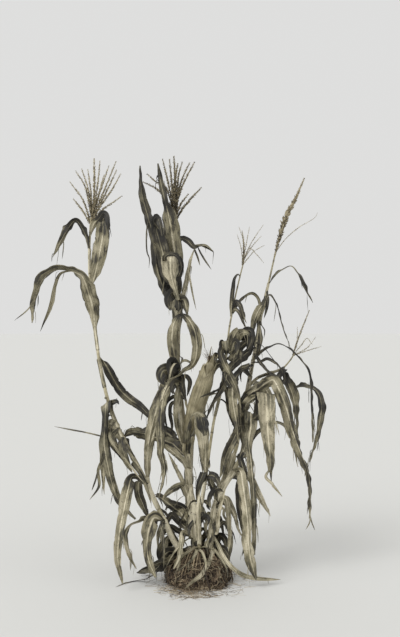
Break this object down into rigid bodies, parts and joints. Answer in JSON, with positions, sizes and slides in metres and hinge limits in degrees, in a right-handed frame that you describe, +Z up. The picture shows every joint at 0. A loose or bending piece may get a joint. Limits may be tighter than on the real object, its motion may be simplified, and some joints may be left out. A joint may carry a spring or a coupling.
{
  "type": "maize plant",
  "caption": "Wilted maize plant of several tasselled stems from one root, with arching leaves and an ear, standing on its lifted root ball.",
  "frame": {"origin": "centre of the root ball's flat underside, on the ground", "axes": "+Z up, +X to the plant's right as the picture shows it, +Y away from the viewer"},
  "size_m": [1.2402, 0.7233, 1.7532],
  "materials": {
    "stalk": "dry smooth stalk with pale sheaths",
    "foliage": "wilted papery blade",
    "flower": "dry spikelets",
    "husk": "papery husk leaves",
    "roots": "soil held by fibrous roots"
  },
  "bodies": {
    "root": {"root_ball": "roots", "left_stem": "stalk", "middle_stem": "stalk", "right_stem": "stalk", "slim_stem": "stalk", "leaning_stem": "stalk", "short_stem": "stalk", "rear_stem": "stalk", "left_flag_leaf": "foliage", "left_hook_leaf": "foliage", "left_long_leaf": "foliage", "slanting_leaf": "foliage", "left_torn_leaf": "foliage", "broad_left_leaf": "foliage", "hanging_left_leaf": "foliage", "low_cross_leaf": "foliage", "left_down_leaf": "foliage", "left_floor_leaf": "foliage", "left_thin_leaf": "foliage", "left_ragged_leaf": "foliage", "low_dark_leaf": "foliage", "crown_left_leaf": "foliage", "crown_flag_leaf": "foliage", "crown_apron_leaf": "foliage", "crown_second_leaf": "foliage", "crown_right_leaf": "foliage", "crown_pale_leaf": "foliage", "loop_leaf": "foliage", "funnel_leaf": "foliage", "tangle_arch_leaf": "foliage", "tangle_cross_leaf": "foliage", "tangle_hanging_leaf": "foliage", "tangle_dark_leaf": "foliage", "tangle_right_leaf": "foliage", "right_top_leaf": "foliage", "right_droop_leaf": "foliage", "right_arch_leaf": "foliage", "far_right_leaf": "foliage", "leaning_droop_leaf": "foliage", "long_right_leaf": "foliage", "big_pale_leaf": "foliage", "middle_pale_leaf": "foliage", "right_back_leaf": "foliage", "right_floor_leaf": "foliage", "right_dark_leaf": "foliage", "low_fork_leaf": "foliage", "low_fork_second_leaf": "foliage", "pale_back_leaf": "foliage", "rear_hanging_leaf": "foliage", "rear_arching_leaf": "foliage", "rear_left_leaf": "foliage", "rear_top_leaf": "foliage", "rear_right_leaf": "foliage", "rear_low_leaf": "foliage", "left_tassel": "flower", "middle_tassel": "flower", "right_tassel": "flower", "slim_tassel": "flower", "leaning_tassel": "flower", "ear": "husk"}
  },
  "joints": []
}
